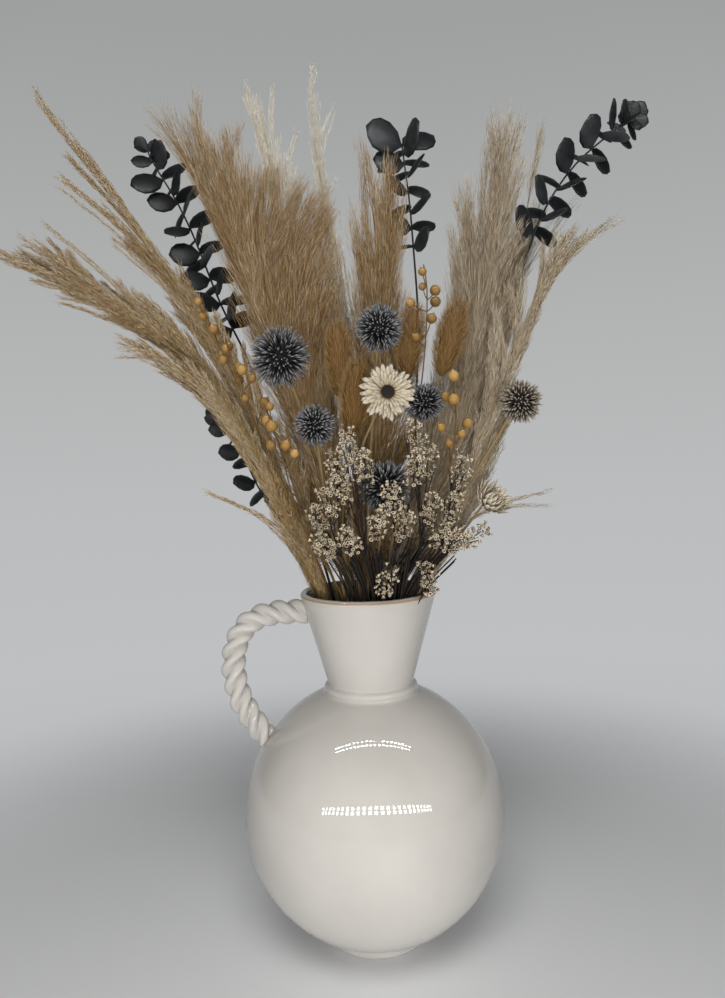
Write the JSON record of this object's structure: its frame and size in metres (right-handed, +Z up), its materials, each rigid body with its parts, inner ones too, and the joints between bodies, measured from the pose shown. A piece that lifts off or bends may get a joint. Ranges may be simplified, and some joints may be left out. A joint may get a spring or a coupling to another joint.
{
  "type": "dried flower bouquet in ceramic vase",
  "caption": "Round glazed ceramic jug with a flared neck and twisted rope handle, holding a fan of dried pampas, reed, eucalyptus, globe thistle, strawflower, flax and limonium.",
  "frame": {"origin": "centre of the jug's flat foot", "axes": "+Z up along the jug's axis, handle towards -X, flower faces and front of the bouquet towards -Y"},
  "size_m": [0.4992, 0.21, 0.71],
  "materials": {
    "glazed_stoneware": "glossy warm white glaze, tan where it breaks over the lip",
    "reed_straw": "matt dried grass, straw brown",
    "pampas_pale": "matt silky hairs, bleached cream",
    "pampas_golden": "matt silky hairs, golden beige",
    "pampas_grey": "matt silky hairs, grey beige",
    "dried_stalk": "matt dried stalk",
    "thistle_blue": "matt grey-blue spikes with paler tips",
    "strawflower_petal": "papery satin petals",
    "bunny_tail": "soft matt bristles, golden brown",
    "eucalyptus_leaf": "dyed charcoal leaf with a faint waxy sheen",
    "flax_gold": "satin golden seed pods",
    "limonium_floret": "matt papery florets on dark stems"
  },
  "bodies": {
    "root": {"bunny_tail_head_1": "bunny_tail", "bunny_tail_head_2": "bunny_tail", "bunny_tail_head_3": "bunny_tail", "bunny_tail_head_4": "bunny_tail", "bunny_tail_stalk_1": "dried_stalk", "bunny_tail_stalk_2": "dried_stalk", "bunny_tail_stalk_3": "dried_stalk", "bunny_tail_stalk_4": "dried_stalk", "eucalyptus_sprig_1": "eucalyptus_leaf", "eucalyptus_sprig_2": "eucalyptus_leaf", "eucalyptus_sprig_3": "eucalyptus_leaf", "eucalyptus_sprig_4": "eucalyptus_leaf", "flax_spray_1": "flax_gold", "flax_spray_2": "flax_gold", "flax_spray_3": "flax_gold", "flax_spray_4": "flax_gold", "flax_spray_5": "flax_gold", "limonium_spray_1": "limonium_floret", "limonium_spray_2": "limonium_floret", "limonium_spray_3": "limonium_floret", "limonium_spray_4": "limonium_floret", "limonium_spray_5": "limonium_floret", "pampas_plume_golden_centre": "pampas_golden", "pampas_plume_golden_left": "pampas_golden", "pampas_plume_grey_back": "pampas_grey", "pampas_plume_grey_right": "pampas_grey", "pampas_plume_pale_back_centre": "pampas_pale", "pampas_plume_pale_back_left": "pampas_pale", "reed_plume_left_front": "reed_straw", "reed_plume_left_high": "reed_straw", "reed_plume_left_low": "reed_straw", "reed_plume_right_low": "reed_straw", "strawflower_head_1": "strawflower_petal", "strawflower_head_2": "strawflower_petal", "strawflower_stalk_1": "dried_stalk", "strawflower_stalk_2": "dried_stalk", "thistle_head_1": "thistle_blue", "thistle_head_2": "thistle_blue", "thistle_head_3": "thistle_blue", "thistle_head_4": "thistle_blue", "thistle_head_5": "thistle_blue", "thistle_head_6": "thistle_blue", "thistle_stalk_1": "dried_stalk", "thistle_stalk_2": "dried_stalk", "thistle_stalk_3": "dried_stalk", "thistle_stalk_4": "dried_stalk", "thistle_stalk_5": "dried_stalk", "thistle_stalk_6": "dried_stalk", "vase_body": "glazed_stoneware", "vase_handle": "glazed_stoneware"}
  },
  "joints": []
}
